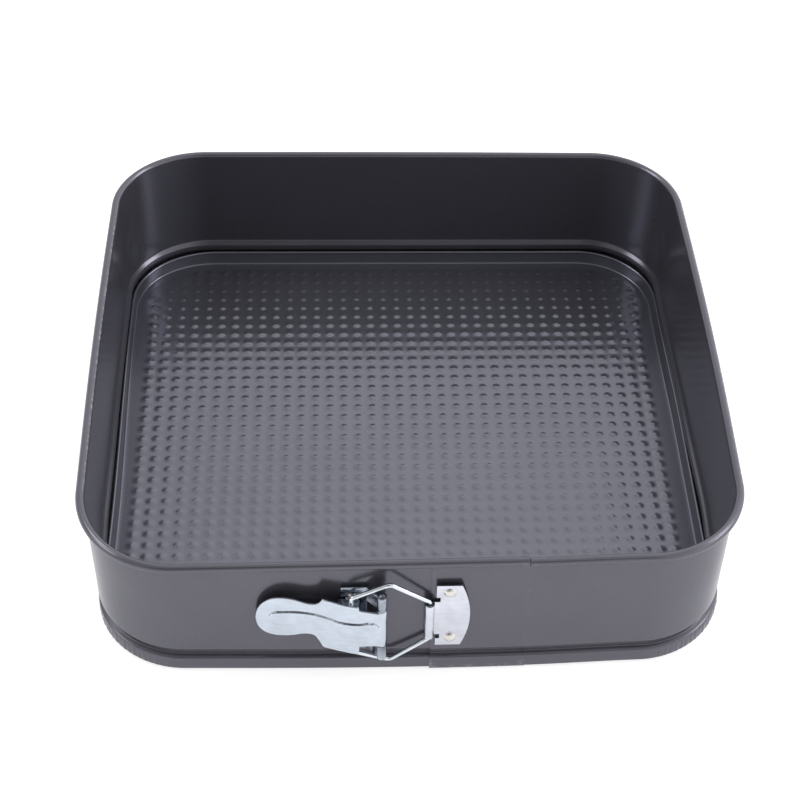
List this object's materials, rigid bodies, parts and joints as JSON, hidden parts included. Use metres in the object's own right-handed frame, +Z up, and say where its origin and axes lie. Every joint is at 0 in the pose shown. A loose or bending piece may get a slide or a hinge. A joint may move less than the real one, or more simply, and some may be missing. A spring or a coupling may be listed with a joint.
{
  "type": "springform pan",
  "caption": "Square springform baking pan with rounded corners, dark non-stick steel band and lift-out base, rolled rim and a zinc-plated toggle latch with a wire bail.",
  "frame": {"origin": "bottom centre of the bounding box, on the surface the pan stands on", "axes": "+X to the right as seen from the latch side, +Y to the back, +Z up; the latch is on the -Y side"},
  "size_m": [0.2672, 0.2743, 0.065],
  "materials": {
    "nonstick_coating": "satin dark grey non-stick coating on sheet steel",
    "nonstick_base": "satin grey non-stick coating on embossed sheet steel",
    "zinc_plated_steel": "bright bluish zinc plating",
    "rivet_steel": "slightly warm bright steel"
  },
  "bodies": {
    "band_left_body": {"band_left": "nonstick_coating", "hinge_bracket": "zinc_plated_steel", "bracket_rivets": "rivet_steel", "hinge_pin": "rivet_steel"},
    "band_right_body": {"band_right": "nonstick_coating", "catch_plate": "zinc_plated_steel", "catch_rivets": "rivet_steel"},
    "lever_body": {"lever": "zinc_plated_steel"},
    "bail_body": {"wire_bail": "zinc_plated_steel"},
    "base_body": {"base_plate": "nonstick_base"}
  },
  "joints": [
    {"name": "lever_swing", "type": "hinge", "parent": "band_left_body", "child": "lever_body", "pos_m": [-0.0135, -0.13517, 0.0326], "axis": [0, 0, 1], "range_deg": [0, 150]},
    {"name": "bail_swing", "type": "hinge", "parent": "lever_body", "child": "bail_body", "pos_m": [-0.0255, -0.13382, 0.0326], "axis": [0, 0, 1], "range_deg": [-134, 0]},
    {"name": "band_open", "type": "slide", "parent": "band_left_body", "child": "band_right_body", "axis": [1, 0, 0], "range_m": [0, 0.01997]},
    {"name": "base_lift", "type": "slide", "parent": "band_left_body", "child": "base_body", "axis": [0, 0, 1], "range_m": [0, 0.08]}
  ],
  "couplings": [
    {"joint": "lever_swing", "follows": "band_open", "rad_per_m": 131.06},
    {"joint": "bail_swing", "follows": "band_open", "rad_per_m": -116.89}
  ]
}
